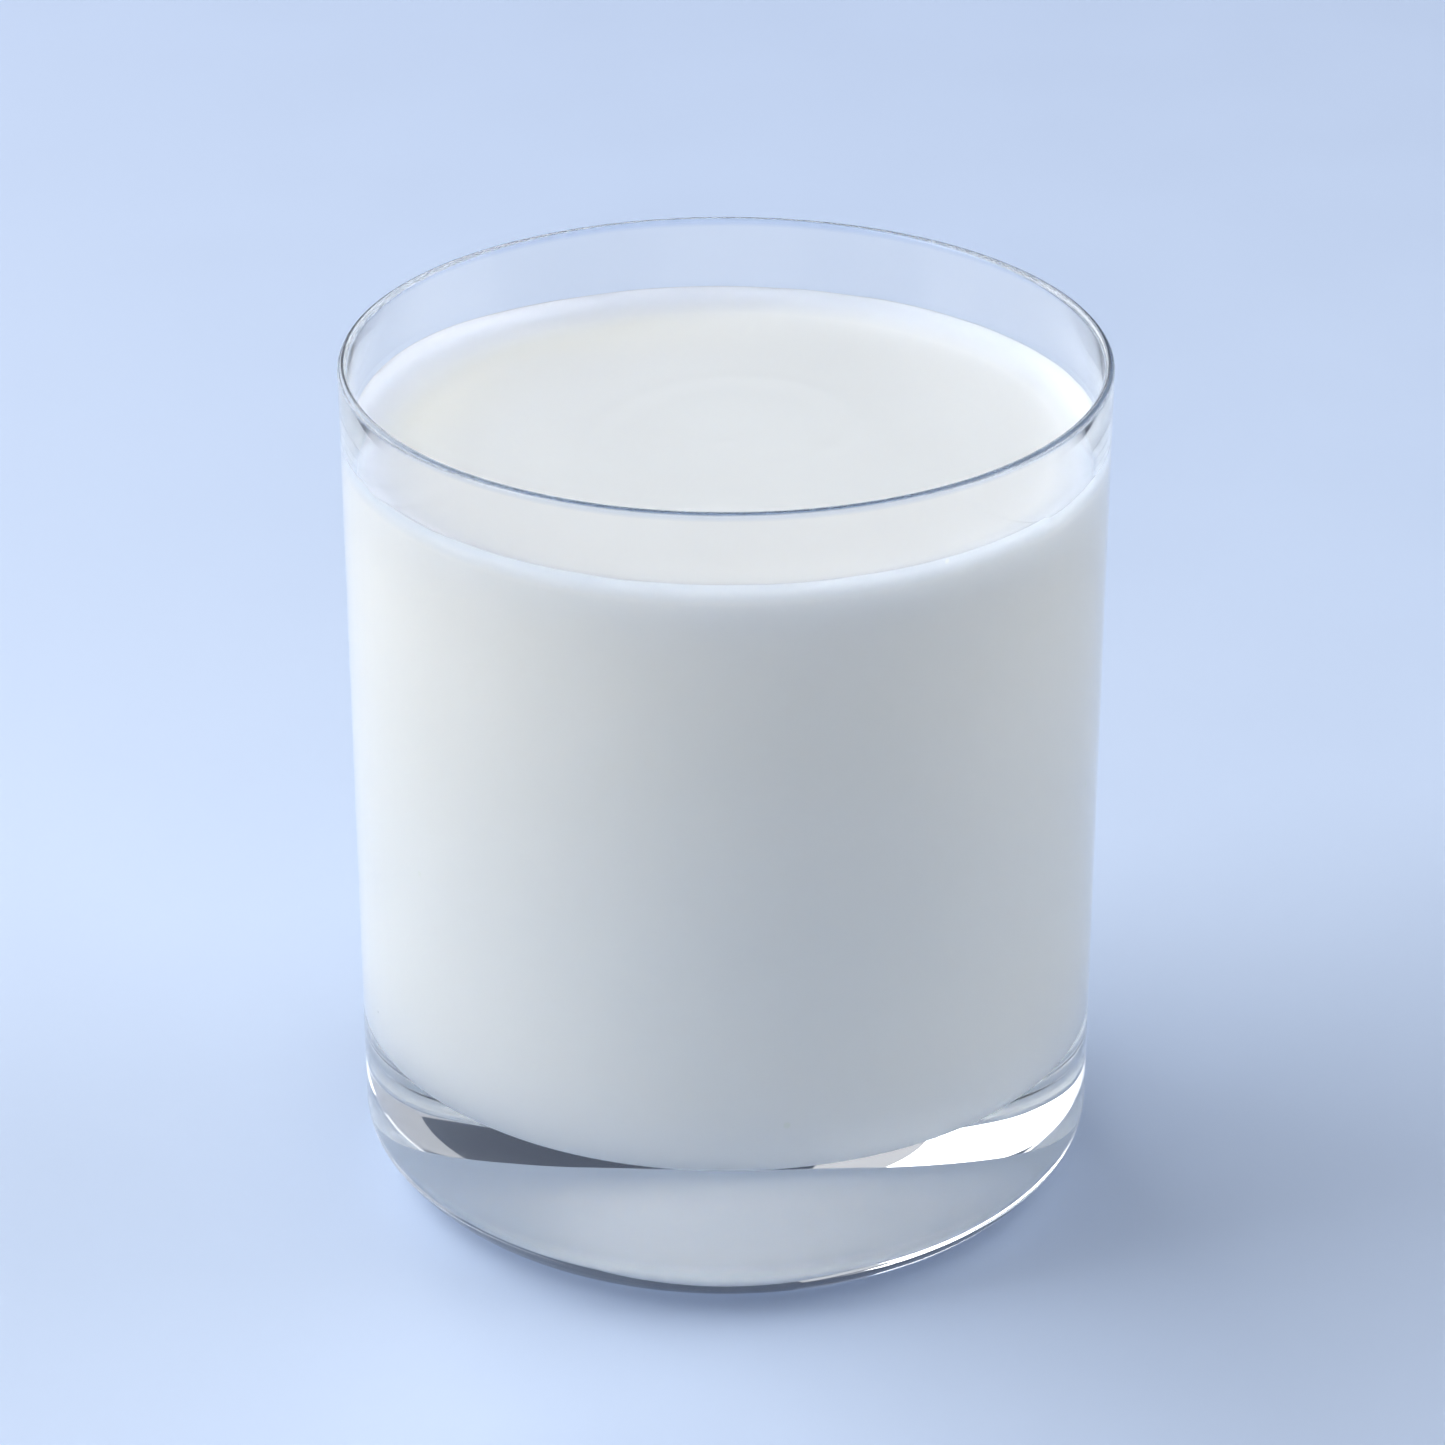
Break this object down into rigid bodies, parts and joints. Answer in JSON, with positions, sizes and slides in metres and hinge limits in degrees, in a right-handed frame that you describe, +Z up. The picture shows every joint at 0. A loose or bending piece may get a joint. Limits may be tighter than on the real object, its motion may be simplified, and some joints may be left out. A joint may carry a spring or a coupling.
{
  "type": "glass of sweet lassi",
  "caption": "Nearly straight clear tumbler with a heavy base and rounded heel, filled almost to its thin rim with smooth, thick, off-white sweet lassi.",
  "frame": {"origin": "middle of the foot, on the surface that the glass stands on", "axes": "+Z up along the tumbler's axis of revolution; +X and +Y are any two level directions"},
  "size_m": [0.084, 0.084, 0.0972],
  "materials": {
    "glass": "clear, colourless, polished",
    "lassi": "wet, opaque, off-white, softly glossy"
  },
  "bodies": {
    "root": {"glass": "glass", "lassi": "lassi"}
  },
  "joints": []
}
